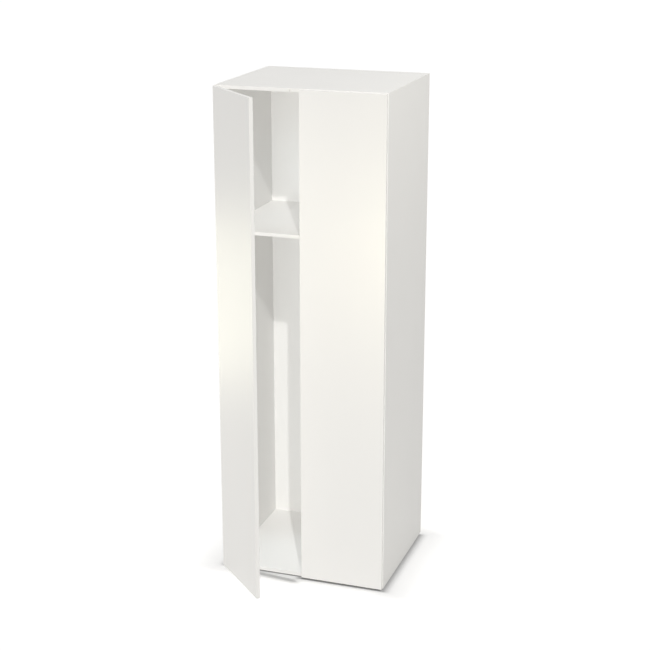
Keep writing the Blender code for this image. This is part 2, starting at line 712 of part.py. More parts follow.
empty_scene()
wardrobe = new_collection("wardrobe")
cutters = new_collection("wardrobe_cutters")
melamine = new_material("white_melamine", (0.86, 0.855, 0.84), 0.45, 0.0)
lacquer = new_material("white_lacquer", (0.87, 0.865, 0.85), 0.35, 0.0)
back_white = new_material("white_back_board", (0.84, 0.835, 0.82), 0.55, 0.0)
nickel = new_material("nickel_plated_steel", (0.62, 0.61, 0.59), 0.30, 1.0)
chrome = new_material("chromed_steel", (0.70, 0.70, 0.70), 0.18, 1.0)
zinc = new_material("zinc_plated_steel", (0.58, 0.58, 0.57), 0.38, 1.0)
white_plastic = new_material("white_plastic", (0.82, 0.82, 0.80), 0.40, 0.0)
dark_plastic = new_material("dark_plastic", (0.05, 0.05, 0.05), 0.60, 0.0)
root = add_empty("wardrobe_origin", None, (0.0, 0.0, 0.0))
build_carcass()
build_supports()
build_rail()
build_doors()
build_latches()
build_feet()
settle_origin()
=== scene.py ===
import math

import bmesh
import bpy
from mathutils import Matrix, Vector


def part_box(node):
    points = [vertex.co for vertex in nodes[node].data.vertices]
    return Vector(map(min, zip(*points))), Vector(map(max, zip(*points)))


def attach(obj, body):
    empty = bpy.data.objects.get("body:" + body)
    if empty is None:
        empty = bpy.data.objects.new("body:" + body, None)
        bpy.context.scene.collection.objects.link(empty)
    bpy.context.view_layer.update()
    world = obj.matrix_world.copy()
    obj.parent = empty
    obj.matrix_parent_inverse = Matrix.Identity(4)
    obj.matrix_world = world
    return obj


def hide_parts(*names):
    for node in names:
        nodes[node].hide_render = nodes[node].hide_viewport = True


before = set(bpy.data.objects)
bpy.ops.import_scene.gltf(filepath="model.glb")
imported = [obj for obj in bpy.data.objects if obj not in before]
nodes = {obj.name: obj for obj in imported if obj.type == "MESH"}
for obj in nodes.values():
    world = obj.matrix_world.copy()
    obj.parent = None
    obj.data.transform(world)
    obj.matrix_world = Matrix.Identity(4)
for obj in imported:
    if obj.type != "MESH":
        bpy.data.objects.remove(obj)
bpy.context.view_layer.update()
print("frame loaded,", len(nodes), "nodes")


# short node helpers that every finish below uses
noiseMiddle = {"From Min": 0.25, "From Max": 0.75}


def addNode(tree, kind, values=None, **settings):
    node = tree.nodes.new(kind)
    for key, value in settings.items():
        setattr(node, key, value)
    for key, value in (values or {}).items():
        if isinstance(value, bpy.types.NodeSocket):
            tree.links.new(value, node.inputs[key])
        else:
            node.inputs[key].default_value = value
    return node


def sums(tree, operation, first, second=0.0, third=0.0):
    return addNode(tree, "ShaderNodeMath", {0: first, 1: second, 2: third}, operation=operation).outputs[0]


def noise(tree, place, perMetre, detail=2.0, rough=0.5):
    values = {"Vector": place, "Scale": perMetre, "Detail": detail, "Roughness": rough}
    return addNode(tree, "ShaderNodeTexNoise", values).outputs[0]


def spread(tree, value, low, high):
    # a noise pattern put between two levels
    values = {"Value": value, **noiseMiddle, "To Min": low, "To Max": high}
    return addNode(tree, "ShaderNodeMapRange", values).outputs[0]


def newGroup(name, inputs, outputs):
    group = bpy.data.node_groups.new(name, "ShaderNodeTree")
    kinds = {"value": "NodeSocketFloat", "colour": "NodeSocketColor", "place": "NodeSocketVector"}
    for label, kind in inputs:
        group.interface.new_socket(name=label, in_out="INPUT", socket_type=kinds[kind])
    for label, kind in outputs:
        group.interface.new_socket(name=label, in_out="OUTPUT", socket_type=kinds[kind])
    return group, group.nodes.new("NodeGroupInput").outputs, group.nodes.new("NodeGroupOutput").inputs


def useGroup(tree, group, values):
    return addNode(tree, "ShaderNodeGroup", values, node_tree=group).outputs


def blend(tree, kind, factor, first, second, blending="MIX"):
    values = {"Factor": factor, "A": first, "B": second}
    return addNode(tree, "ShaderNodeMix", values, data_type=kind, blend_type=blending).outputs["Result"]


# painted skin: slow clouding of tone, a fine surface grain and an uneven gloss
skinNoise = {"cloudDetail": 3.0, "grainDetail": 2.0, "glossScale": 3.7, "glossDetail": 4.0, "glossRough": 0.6}


def makePaintSkin():
    group, given, out = newGroup("paintSkin", [
        ("Place", "place"), ("Paint", "colour"), ("Tone spread", "value"), ("Rough", "value"),
        ("Rough spread", "value"), ("Grain per metre", "value"), ("Cloud per metre", "value"),
    ], [("Colour", "colour"), ("Roughness", "value"), ("Height", "value")])
    look = skinNoise
    cloud = noise(group, given["Place"], given["Cloud per metre"], look["cloudDetail"])
    grain = noise(group, given["Place"], given["Grain per metre"], look["grainDetail"])
    tone = sums(group, "MULTIPLY_ADD", spread(group, cloud, -1.0, 1.0), given["Tone spread"], 1.0)
    tone = sums(group, "MULTIPLY_ADD", sums(group, "SUBTRACT", grain, 0.5), given["Tone spread"], tone)
    paint = addNode(group, "ShaderNodeVectorMath", {0: given["Paint"], "Scale": tone}, operation="SCALE")
    glossScale = sums(group, "MULTIPLY", given["Cloud per metre"], look["glossScale"])
    gloss = noise(group, given["Place"], glossScale, look["glossDetail"], look["glossRough"])
    uneven = spread(group, gloss, -1.0, 1.0)
    rough = sums(group, "MULTIPLY_ADD", uneven, given["Rough spread"], given["Rough"])
    group.links.new(paint.outputs[0], out["Colour"])
    group.links.new(rough, out["Roughness"])
    group.links.new(grain, out["Height"])
    return group


# plated steel: faint cloud in the plating, and fine marks drawn along one axis
platingNoise = {"cloud": 60.0, "cloudDetail": 3.0, "marksDetail": 3.0, "marksRough": 0.6}


def makePlating():
    group, given, out = newGroup("plating", [
        ("Place", "place"), ("Metal", "colour"), ("Tone spread", "value"), ("Rough", "value"),
        ("Rough spread", "value"), ("Marks per metre", "value"),
    ], [("Colour", "colour"), ("Roughness", "value"), ("Height", "value")])
    look = platingNoise
    cloud = noise(group, given["Place"], look["cloud"], look["cloudDetail"])
    marks = noise(group, given["Place"], given["Marks per metre"], look["marksDetail"], look["marksRough"])
    tone = sums(group, "MULTIPLY_ADD", spread(group, cloud, -1.0, 1.0), given["Tone spread"], 1.0)
    metal = addNode(group, "ShaderNodeVectorMath", {0: given["Metal"], "Scale": tone}, operation="SCALE")
    uneven = spread(group, marks, -1.0, 1.0)
    rough = sums(group, "MULTIPLY_ADD", uneven, given["Rough spread"], given["Rough"])
    group.links.new(metal.outputs[0], out["Colour"])
    group.links.new(rough, out["Roughness"])
    group.links.new(marks, out["Height"])
    return group


# a glued edge band shows as one hair line just behind a board's front edge
def makeBandLine():
    group, given, out = newGroup("bandLine", [
        ("Place", "place"), ("Front", "value"), ("Band", "value"), ("Line", "value"),
    ], [("Line", "value"), ("Band", "value")])
    along = addNode(group, "ShaderNodeSeparateXYZ", {0: given["Place"]}).outputs["Y"]
    behind = sums(group, "SUBTRACT", along, given["Front"])
    line = sums(group, "COMPARE", behind, given["Band"], given["Line"])
    group.links.new(line, out["Line"])
    group.links.new(sums(group, "LESS_THAN", behind, given["Band"]), out["Band"])
    return group


paintSkin = makePaintSkin()
plating = makePlating()
bandLine = makeBandLine()


def newFinish(name):
    material = bpy.data.materials.new(name)
    material.use_nodes = True
    tree = material.node_tree
    place = addNode(tree, "ShaderNodeTexCoord").outputs["Object"]
    return material, tree, tree.nodes["Principled BSDF"], place


def addBump(tree, shader, height, strength, distance):
    bump = addNode(tree, "ShaderNodeBump", {"Strength": strength, "Distance": distance, "Height": height})
    tree.links.new(bump.outputs[0], shader.inputs["Normal"])


boardFinish = {"paint": (0.862, 0.856, 0.842), "toneSpread": 0.006, "rough": 0.44, "roughSpread": 0.035,
               "grain": 1500.0, "cloud": 2.3, "bump": 0.10, "bumpDepth": 0.00005,
               "band": 0.0011, "bandGloss": -0.06, "line": 0.00012, "lineShade": (0.86, 0.85, 0.83)}


def addSkin(tree, place, look):
    return useGroup(tree, paintSkin, {
        "Place": place, "Paint": (*look["paint"], 1.0), "Tone spread": look["toneSpread"],
        "Rough": look["rough"], "Rough spread": look["roughSpread"],
        "Grain per metre": look["grain"], "Cloud per metre": look["cloud"]})


def makeBoard(name, front):
    look = boardFinish
    material, tree, shader, place = newFinish(name)
    skin = addSkin(tree, place, look)
    band = useGroup(tree, bandLine, {
        "Place": place, "Front": front, "Band": look["band"], "Line": look["line"]})
    colour = blend(tree, "RGBA", band["Line"], skin["Colour"], (*look["lineShade"], 1.0), "MULTIPLY")
    tree.links.new(colour, shader.inputs["Base Color"])
    rough = sums(tree, "MULTIPLY_ADD", band["Band"], look["bandGloss"], skin["Roughness"])
    tree.links.new(rough, shader.inputs["Roughness"])
    addBump(tree, shader, skin["Height"], look["bump"], look["bumpDepth"])
    return material


def makePaint(look):
    material, tree, shader, place = newFinish(look["name"])
    skin = addSkin(tree, place, look)
    tree.links.new(skin["Colour"], shader.inputs["Base Color"])
    tree.links.new(skin["Roughness"], shader.inputs["Roughness"])
    addBump(tree, shader, skin["Height"], look["bump"], look["bumpDepth"])
    return material


def makeMetal(look):
    material, tree, shader, place = newFinish(look["name"])
    drawn = addNode(tree, "ShaderNodeMapping", {"Vector": place, "Scale": look["drawn"]}).outputs[0]
    metal = useGroup(tree, plating, {
        "Place": drawn, "Metal": (*look["metal"], 1.0), "Tone spread": look["toneSpread"],
        "Rough": look["rough"], "Rough spread": look["roughSpread"], "Marks per metre": look["marks"]})
    tree.links.new(metal["Colour"], shader.inputs["Base Color"])
    tree.links.new(metal["Roughness"], shader.inputs["Roughness"])
    shader.inputs["Metallic"].default_value = 1.0
    addBump(tree, shader, metal["Height"], look["bump"], look["bumpDepth"])
    return material


doorFinish = {"name": "doorLacquer", "paint": (0.866, 0.858, 0.842), "toneSpread": 0.004, "rough": 0.36,
              "roughSpread": 0.015, "grain": 260.0, "cloud": 1.7, "bump": 0.05, "bumpDepth": 0.00004}
latchFinish = {"name": "latchPlastic", "paint": (0.80, 0.79, 0.77), "toneSpread": 0.01, "rough": 0.42,
               "roughSpread": 0.05, "grain": 2600.0, "cloud": 40.0, "bump": 0.20, "bumpDepth": 0.00003}
footFinish = {"name": "footPlastic", "paint": (0.050, 0.050, 0.052), "toneSpread": 0.10, "rough": 0.55,
              "roughSpread": 0.08, "grain": 1800.0, "cloud": 30.0, "bump": 0.35, "bumpDepth": 0.00005}
nickelFinish = {"name": "nickelPlate", "metal": (0.66, 0.65, 0.625), "toneSpread": 0.015, "rough": 0.20,
                "roughSpread": 0.035, "marks": 2600.0, "drawn": (1.0, 1.0, 1.0),
                "bump": 0.03, "bumpDepth": 0.00001}
chromeFinish = {"name": "railChrome", "metal": (0.72, 0.72, 0.725), "toneSpread": 0.02, "rough": 0.14,
                "roughSpread": 0.05, "marks": 1400.0, "drawn": (0.02, 1.0, 1.0),
                "bump": 0.05, "bumpDepth": 0.00002}
zincFinish = {"name": "zincPlate", "metal": (0.60, 0.605, 0.61), "toneSpread": 0.03, "rough": 0.32,
              "roughSpread": 0.05, "marks": 1800.0, "drawn": (1.0, 1.0, 1.0),
              "bump": 0.05, "bumpDepth": 0.00001}


# thin back board: white paint inside, bare pressed fibre towards the wall
backPaint = {"paint": (0.855, 0.849, 0.835), "toneSpread": 0.006, "rough": 0.52, "roughSpread": 0.04,
             "grain": 1100.0, "cloud": 2.0}
backFibre = {"paint": (0.60, 0.545, 0.47), "toneSpread": 0.035, "rough": 0.78, "roughSpread": 0.06,
             "grain": 520.0, "cloud": 85.0, "bump": 0.12, "bumpDepth": 0.00006}


def makeBackBoard():
    low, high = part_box("back_panel")
    material, tree, shader, place = newFinish("backBoard")
    along = addNode(tree, "ShaderNodeSeparateXYZ", {0: place}).outputs["Y"]
    rear = sums(tree, "GREATER_THAN", along, (low.y + high.y) / 2)
    skin = addSkin(tree, place, backPaint)
    fibre = addSkin(tree, place, backFibre)
    colour = blend(tree, "RGBA", rear, skin["Colour"], fibre["Colour"])
    rough = blend(tree, "FLOAT", rear, skin["Roughness"], fibre["Roughness"])
    tree.links.new(colour, shader.inputs["Base Color"])
    tree.links.new(rough, shader.inputs["Roughness"])
    addBump(tree, shader, fibre["Height"], backFibre["bump"], backFibre["bumpDepth"])
    return material


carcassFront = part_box("left_side_panel")[0].y
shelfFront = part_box("hat_shelf")[0].y
finishes = {"white_melamine": makeBoard("carcassBoard", carcassFront), "white_lacquer": makePaint(doorFinish),
            "white_back_board": makeBackBoard(), "nickel_plated_steel": makeMetal(nickelFinish),
            "chromed_steel": makeMetal(chromeFinish), "zinc_plated_steel": makeMetal(zincFinish),
            "white_plastic": makePaint(latchFinish), "dark_plastic": makePaint(footFinish)}
shelfBoard = makeBoard("shelfBoard", shelfFront)

for node in nodes.values():
    for holder in node.material_slots:
        holder.material = finishes[holder.material.name.split(".")[0]]
nodes["hat_shelf"].material_slots[0].material = shelfBoard
print("finishes on the nodes:", len(finishes) + 1)


# modelling helpers: open one piece, pick its faces or edges by place, close it again
samePlace = 1e-6
sameFacing = 0.99


def pickOnly(piece):
    bpy.ops.object.select_all(action="DESELECT")
    piece.select_set(True)
    bpy.context.view_layer.objects.active = piece


def openEdit(piece, mode):
    pickOnly(piece)
    bpy.ops.object.mode_set(mode="EDIT")
    bpy.ops.mesh.select_mode(type=mode)
    bpy.ops.mesh.select_all(action="DESELECT")


def closeEdit():
    bpy.ops.object.mode_set(mode="OBJECT")


def pickFaces(piece, wanted):
    shape = bmesh.from_edit_mesh(piece.data)
    for face in shape.faces:
        face.select_set(wanted(face))
    bmesh.update_edit_mesh(piece.data)


def pickEdges(piece, wanted):
    shape = bmesh.from_edit_mesh(piece.data)
    for edge in shape.edges:
        edge.select_set(wanted(edge))
    bmesh.update_edit_mesh(piece.data)


def levelEdge(height):
    return lambda edge: all(abs(corner.co.z - height) < samePlace for corner in edge.verts)


def endFace(facing):
    facing = Vector(facing)
    return lambda face: face.normal.dot(facing) > sameFacing


def addDisc(radius, thick, sides):
    bpy.ops.object.select_all(action="DESELECT")
    middle = (0, 0, thick / 2)
    bpy.ops.mesh.primitive_cylinder_add(vertices=sides, radius=radius, depth=thick, location=middle)
    bpy.ops.object.transform_apply(location=True, rotation=True, scale=True)
    return bpy.context.active_object


def addBlock(size, place):
    bpy.ops.object.select_all(action="DESELECT")
    bpy.ops.mesh.primitive_cube_add(size=1.0, location=place)
    block = bpy.context.active_object
    block.scale = size
    bpy.ops.object.transform_apply(location=True, rotation=True, scale=True)
    return block


def cutOut(piece, tool):
    cut = piece.modifiers.new("cut", "BOOLEAN")
    cut.operation = "DIFFERENCE"
    cut.solver = "EXACT"
    cut.object = tool
    bpy.context.view_layer.objects.active = piece
    bpy.ops.object.modifier_apply(modifier=cut.name)
    bpy.data.objects.remove(tool)


def softenEdges(piece, look):
    soften = piece.modifiers.new("soften", "BEVEL")
    soften.width = look["soften"]
    soften.segments = look["steps"]
    soften.limit_method = "ANGLE"
    soften.angle_limit = math.radians(look["angle"])
    bpy.context.view_layer.objects.active = piece
    bpy.ops.object.modifier_apply(modifier=soften.name)


def finishPiece(piece, name, body, slotName, smooth=35.0):
    pickOnly(piece)
    bpy.ops.object.transform_apply(location=True, rotation=True, scale=True)
    bpy.ops.object.shade_smooth_by_angle(angle=math.radians(smooth))
    # flat faces keep their own normal beside a softened edge
    level = piece.modifiers.new("level", "WEIGHTED_NORMAL")
    level.keep_sharp = True
    bpy.ops.object.modifier_apply(modifier=level.name)
    piece.name = name
    piece.data.name = name
    piece.data.materials.clear()
    piece.data.materials.append(finishes[slotName])
    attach(piece, body)
    return piece


# one model, copied to each place with its own mesh, and the copies joined; each is turned on from the last
turnStep = 37.0


def setOut(model, places, name):
    copies = []
    for number, (place, facing) in enumerate(places):
        copy = bpy.data.objects.new(name, model.data.copy())
        bpy.context.scene.collection.objects.link(copy)
        spin = Matrix.Rotation(math.radians(turnStep * number), 3, "Z")
        turn = Vector(facing).to_track_quat("Z", "Y").to_matrix() @ spin
        copy.location = place
        copy.rotation_euler = turn.to_euler()
        copies.append(copy)
    bpy.ops.object.select_all(action="DESELECT")
    for copy in copies:
        copy.select_set(True)
    bpy.context.view_layer.objects.active = copies[0]
    bpy.ops.object.transform_apply(location=True, rotation=True, scale=True)
    bpy.ops.object.join()
    return copies[0]


# copies of CAD nodes with welded faces, softened edges and smooth round work
def dressNodes(name, nodeNames, body, slotName, look):
    bpy.ops.object.select_all(action="DESELECT")
    for nodeName in nodeNames:
        copy = bpy.data.objects.new(name, nodes[nodeName].data.copy())
        bpy.context.scene.collection.objects.link(copy)
        copy.select_set(True)
        bpy.context.view_layer.objects.active = copy
    if len(nodeNames) > 1:
        bpy.ops.object.join()
    piece = bpy.context.active_object
    bpy.ops.mesh.customdata_custom_splitnormals_clear()
    openEdit(piece, "VERT")
    bpy.ops.mesh.select_all(action="SELECT")
    bpy.ops.mesh.remove_doubles(threshold=look["weld"])
    bpy.ops.mesh.dissolve_limited(angle_limit=math.radians(look["flat"]))
    closeEdit()
    softenEdges(piece, look)
    finishPiece(piece, name, body, slotName, look["smooth"])
    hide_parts(*nodeNames)


hingeHeights = (0.114, 0.8185, 1.523, 2.227)
hingeLook = {"weld": 0.000002, "flat": 0.5, "soften": 0.00018, "steps": 2, "angle": 50.0, "smooth": 40.0}
fittingLook = {"weld": 0.000002, "flat": 0.5, "soften": 0.00030, "steps": 2, "angle": 50.0, "smooth": 40.0}
for side in ("left", "right"):
    door, plunger = f"{side}_door", f"{side}_latch_plunger"
    bodies = {"Cup": door, "Link": f"{side}_hinge_links", "Arm": "carcass", "Plate": "carcass"}
    for part, body in bodies.items():
        names = [f"{side}_hinge_{part.lower()}_{number + 1}" for number in range(len(hingeHeights))]
        dressNodes(f"{side}Hinge{part}s", names, body, "nickel_plated_steel", hingeLook)
    dressNodes(f"{side}LatchPlunger", [plunger], plunger, "white_plastic", fittingLook)
    dressNodes(f"{side}StrikePad", [f"{side}_strike_pad"], door, "zinc_plated_steel", hingeLook)
housings = ["left_latch_housing", "right_latch_housing"]
dressNodes("latchHousings", housings, "carcass", "white_plastic", hingeLook)
sockets = ["left_rail_socket", "right_rail_socket"]
dressNodes("railSockets", sockets, "carcass", "zinc_plated_steel", fittingLook)
supports = [f"shelf_support_{side}_{end}" for side in ("left", "right") for end in ("front", "rear")]
dressNodes("shelfSupports", supports, "carcass", "zinc_plated_steel", fittingLook)
print("hinges and fittings dressed")


# screw with a domed rim and a cross recess
screwHead = {"sides": 28, "domeSteps": 3, "sideways": 0.1}


def makeScrew(look):
    head = addDisc(look["radius"], look["height"], screwHead["sides"])
    openEdit(head, "EDGE")
    pickEdges(head, levelEdge(look["height"]))
    bpy.ops.mesh.bevel(offset=look["dome"], segments=screwHead["domeSteps"], affect="EDGES")
    closeEdit()
    blade = look["blade"]
    cross = addBlock((blade, blade, 2 * look["recess"]), (0, 0, look["height"]))
    openEdit(cross, "FACE")
    pickFaces(cross, lambda face: abs(face.normal.z) < screwHead["sideways"])
    bpy.ops.mesh.extrude_faces_move(TRANSFORM_OT_shrink_fatten={"value": look["reach"]})
    closeEdit()
    cutOut(head, cross)
    return head


# each door's hinge line, and how far it stands open; screw places are measured from that line
doorPivot = {"left": (-0.39194, -0.195793, -44.65), "right": (0.39406, -0.195793, 0.0)}
cupScrew = {"radius": 0.0033, "height": 0.0010, "dome": 0.0006,
            "blade": 0.0008, "recess": 0.0006, "reach": 0.0014,
            "inward": 0.0150, "behind": 0.0113, "apart": 0.026}
plateScrew = {"radius": 0.0042, "height": 0.0016, "dome": 0.0009,
              "blade": 0.0010, "recess": 0.0009, "reach": 0.0018,
              "inward": 0.0111, "behind": 0.049, "apart": 0.016}
armScrew = {"radius": 0.0031, "height": 0.0009, "dome": 0.0005,
            "blade": 0.0008, "recess": 0.0006, "reach": 0.0013,
            "inward": 0.0230, "behind": (0.044, 0.076)}
railScrew = {"radius": 0.0030, "height": 0.0012, "dome": 0.0007,
             "blade": 0.0008, "recess": 0.0007, "reach": 0.0013,
             "proud": 0.0025, "apart": 0.021}


def makeHingeScrews():
    cupHead = makeScrew(cupScrew)
    plateHead = makeScrew(plateScrew)
    armHead = makeScrew(armScrew)
    plateSpots = []
    armSpots = []
    for side, hand in (("left", 1), ("right", -1)):
        x, y, turned = doorPivot[side]
        turn = Matrix.Rotation(math.radians(turned), 3, "Z")
        cupSpots = []
        across = turn @ Vector((hand * cupScrew["inward"], cupScrew["behind"], 0))
        plateX, plateY = x + hand * plateScrew["inward"], y + plateScrew["behind"]
        for height in hingeHeights:
            for up in (-1, 1):
                cupSpot = Vector((x, y, height + up * cupScrew["apart"])) + across
                cupSpots.append((cupSpot, turn @ Vector((0, 1, 0))))
                plateSpots.append(((plateX, plateY, height + up * plateScrew["apart"]), (hand, 0, 0)))
            for behind in armScrew["behind"]:
                armSpots.append(((x + hand * armScrew["inward"], y + behind, height), (hand, 0, 0)))
        cupScrews = setOut(cupHead, cupSpots, "cupScrews")
        finishPiece(cupScrews, f"{side}CupScrews", f"{side}_door", "zinc_plated_steel")
    finishPiece(setOut(plateHead, plateSpots, "plateScrews"), "plateScrews", "carcass", "zinc_plated_steel")
    finishPiece(setOut(armHead, armSpots, "armScrews"), "armScrews", "carcass", "zinc_plated_steel")
    for head in (cupHead, plateHead, armHead):
        bpy.data.objects.remove(head)


makeHingeScrews()
print("hinge screws set")


# rail: an oval drawn tube, open at both ends
railTube = {"wall": 0.0012, "steps": 14, "roundShare": 0.9999, "smooth": 30.0}


def makeRail():
    low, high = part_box("clothes_rail")
    middle = (low + high) / 2
    width = high.y - low.y
    bpy.ops.object.select_all(action="DESELECT")
    bpy.ops.mesh.primitive_plane_add(size=1.0)
    rail = bpy.context.active_object
    rail.scale = (width, high.z - low.z, 1.0)
    bpy.ops.object.transform_apply(location=True, rotation=True, scale=True)
    openEdit(rail, "VERT")
    bpy.ops.mesh.select_all(action="SELECT")
    rounding = width / 2 * railTube["roundShare"]
    bpy.ops.mesh.bevel(offset=rounding, segments=railTube["steps"], affect="VERTICES")
    bpy.ops.mesh.select_mode(type="FACE")
    bpy.ops.mesh.select_all(action="SELECT")
    bpy.ops.mesh.extrude_region_move(TRANSFORM_OT_translate={"value": (0, 0, high.x - low.x)})
    bpy.ops.mesh.select_all(action="SELECT")
    bpy.ops.mesh.normals_make_consistent(inside=False)
    pickFaces(rail, lambda face: abs(face.normal.z) > sameFacing)
    bpy.ops.mesh.inset(thickness=railTube["wall"])
    bpy.ops.mesh.delete(type="ONLY_FACE")
    bpy.ops.mesh.select_mode(type="EDGE")
    pickEdges(rail, lambda edge: edge.is_boundary)
    bpy.ops.mesh.bridge_edge_loops()
    bpy.ops.mesh.select_all(action="SELECT")
    bpy.ops.mesh.normals_make_consistent(inside=False)
    # a long thin tube can come out inside out
    if bmesh.from_edit_mesh(rail.data).calc_volume(signed=True) < 0.0:
        bpy.ops.mesh.flip_normals()
    closeEdit()
    rail.rotation_euler = Matrix(((0, 0, 1), (1, 0, 0), (0, 1, 0))).to_euler()
    rail.location = (low.x, middle.y, middle.z)
    finishPiece(rail, "clothesRail", "carcass", "chromed_steel", railTube["smooth"])
    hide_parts("clothes_rail")
    return middle


def makeRailScrews(middle):
    head = makeScrew(railScrew)
    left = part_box("left_side_panel")[1].x
    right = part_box("right_side_panel")[0].x
    spots = []
    for x, hand in ((left, 1), (right, -1)):
        for up in (-1, 1):
            spot = (x + hand * railScrew["proud"], middle.y, middle.z + up * railScrew["apart"])
            spots.append((spot, (hand, 0, 0)))
    finishPiece(setOut(head, spots, "railScrews"), "railScrews", "carcass", "zinc_plated_steel")
    bpy.data.objects.remove(head)


makeRailScrews(makeRail())
print("rail made")


# glide: a moulded disc with a round foot, a stem in the board and a ring under it
glide = {"sides": 48, "round": 0.003, "roundSteps": 4, "shoulder": 0.0097, "rim": 0.0005, "rimSteps": 2,
         "stem": 0.004, "stemTop": 0.0207, "ring": 0.006, "ringDepth": 0.0006, "smooth": 30.0}


def makeGlides():
    names = [f"foot_{end}_{side}" for end in ("front", "rear") for side in ("left", "right")]
    low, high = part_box(names[0])
    radius = (high.x - low.x) / 2
    shoulder = glide["shoulder"]
    foot = addDisc(radius, shoulder, glide["sides"])
    openEdit(foot, "EDGE")
    pickEdges(foot, levelEdge(0.0))
    bpy.ops.mesh.bevel(offset=glide["round"], segments=glide["roundSteps"], affect="EDGES")
    pickEdges(foot, levelEdge(shoulder))
    bpy.ops.mesh.bevel(offset=glide["rim"], segments=glide["rimSteps"], affect="EDGES")
    bpy.ops.mesh.select_mode(type="FACE")
    pickFaces(foot, endFace((0, 0, 1)))
    bpy.ops.mesh.inset(thickness=radius - glide["rim"] - glide["stem"])
    bpy.ops.mesh.extrude_region_move(TRANSFORM_OT_translate={"value": (0, 0, glide["stemTop"] - shoulder)})
    pickFaces(foot, endFace((0, 0, -1)))
    bpy.ops.mesh.inset(thickness=glide["ring"])
    bpy.ops.mesh.extrude_region_move(TRANSFORM_OT_translate={"value": (0, 0, glide["ringDepth"])})
    closeEdit()
    spots = []
    for name in names:
        low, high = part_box(name)
        spots.append((((low.x + high.x) / 2, (low.y + high.y) / 2, low.z), (0, 0, 1)))
    feet = finishPiece(setOut(foot, spots, "glides"), "glides", "carcass", "dark_plastic", glide["smooth"])
    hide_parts(*names)
    bpy.data.objects.remove(foot)


makeGlides()


# cover caps over the cam fittings, under the top and under the bottom
camCap = {"radius": 0.0088, "thick": 0.0011, "sides": 40, "rim": 0.0005, "rimSteps": 3,
          "crown": 0.00015, "crownInset": 0.0035, "fromSide": 0.034,
          "topFront": 0.060, "topRear": 0.075, "bottomFront": 0.125, "bottomRear": 0.135}


def makeCamCaps():
    cap = addDisc(camCap["radius"], camCap["thick"], camCap["sides"])
    openEdit(cap, "EDGE")
    pickEdges(cap, levelEdge(camCap["thick"]))
    bpy.ops.mesh.bevel(offset=camCap["rim"], segments=camCap["rimSteps"], affect="EDGES")
    bpy.ops.mesh.select_mode(type="FACE")
    pickFaces(cap, endFace((0, 0, 1)))
    bpy.ops.mesh.inset(thickness=camCap["crownInset"])
    bpy.ops.transform.translate(value=(0, 0, camCap["crown"]))
    closeEdit()
    left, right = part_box("left_side_panel")[1].x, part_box("right_side_panel")[0].x
    spots = []
    boards = {"top_panel": ("topFront", "topRear"), "bottom_panel": ("bottomFront", "bottomRear")}
    for board, (front, rear) in boards.items():
        low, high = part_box(board)
        for x in (left + camCap["fromSide"], right - camCap["fromSide"]):
            for y in (low.y + camCap[front], high.y - camCap[rear]):
                spots.append(((x, y, low.z), (0, 0, -1)))
    finishPiece(setOut(cap, spots, "camCaps"), "camCaps", "carcass", "white_plastic")
    bpy.data.objects.remove(cap)


makeCamCaps()
print("glides and caps made")


studio = {"floorHalf": 60.0, "floorDrop": 0.0002, "floorPaint": 0.95, "floorGlow": 0.60, "floorBounce": 0.85,
          "ambient": 0.465, "light": (1.0, 0.993, 0.975)}
# painted floor shade standing in for the carcass's shadow; under: painted dark below the boards; near:
# painted soft shade beside them; halo: faint and wide painted shade;
# streak: a painted soft shadow line in front of the open half
paintedFloorShade = {"underStart": -0.018, "underEnd": -0.004, "underLevel": 0.44,
              "nearSide": 0.046, "nearFront": 0.020, "nearInset": 0.014, "nearDepth": 0.57, "nearPower": 1.5,
              "haloDepth": 0.33, "haloSide": 0.21, "haloFront": 0.09,
              "streakPlace": (-0.196, -0.2028), "streakSlope": -0.1276, "streakReach": 0.037,
              "streakDepth": 0.52, "streakFull": -0.04, "streakGone": 0.02}


# 1 for rays that show a surface straight or in a reflection, 0 for rays that only carry light
def shownRays(tree):
    path = addNode(tree, "ShaderNodeLightPath").outputs
    seen = sums(tree, "MAXIMUM", path["Is Camera Ray"], path["Is Glossy Ray"])
    return sums(tree, "MAXIMUM", seen, path["Is Transmission Ray"])
